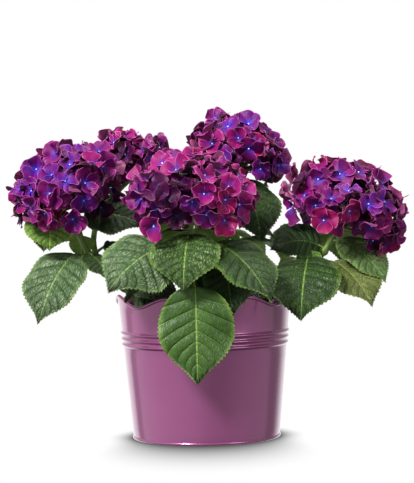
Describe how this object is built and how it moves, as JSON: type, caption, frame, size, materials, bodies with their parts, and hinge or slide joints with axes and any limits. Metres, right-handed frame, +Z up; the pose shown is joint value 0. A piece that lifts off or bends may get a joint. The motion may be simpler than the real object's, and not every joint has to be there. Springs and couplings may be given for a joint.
{
  "type": "potted hydrangea shrub",
  "caption": "Mophead hydrangea shrub with domed magenta-purple flower heads over broad serrated leaves, standing in a round metal pot with a scalloped rim.",
  "frame": {"origin": "centre of the pot's flat underside, where the plant stands", "axes": "+Z up out of the pot, -Y towards the plant's front, +X to the right as seen from the front"},
  "size_m": [0.4515, 0.3539, 0.3683],
  "materials": {
    "pot": "glossy magenta-purple paint on thin sheet metal",
    "soil": "dark moist potting compost",
    "stem": "green half-woody stem, finely ribbed",
    "leaf": "satin mid-green leaf with pale sunken veins",
    "bloom": "matt magenta-purple sepals with violet hearts and paler rims"
  },
  "bodies": {
    "root": {"pot": "pot", "soil": "soil", "stem_left": "stem", "stem_left_back": "stem", "stem_center": "stem", "stem_top": "stem", "stem_right": "stem", "stem_back": "stem", "stem_right_back": "stem", "bloom_left": "bloom", "bloom_left_back": "bloom", "bloom_center": "bloom", "bloom_top": "bloom", "bloom_right": "bloom", "bloom_back": "bloom", "bloom_right_back": "bloom", "leaves_left": "leaf", "leaves_left_back": "leaf", "leaves_center": "leaf", "leaves_top": "leaf", "leaves_right": "leaf", "leaves_back": "leaf", "leaves_right_back": "leaf"}
  },
  "joints": []
}
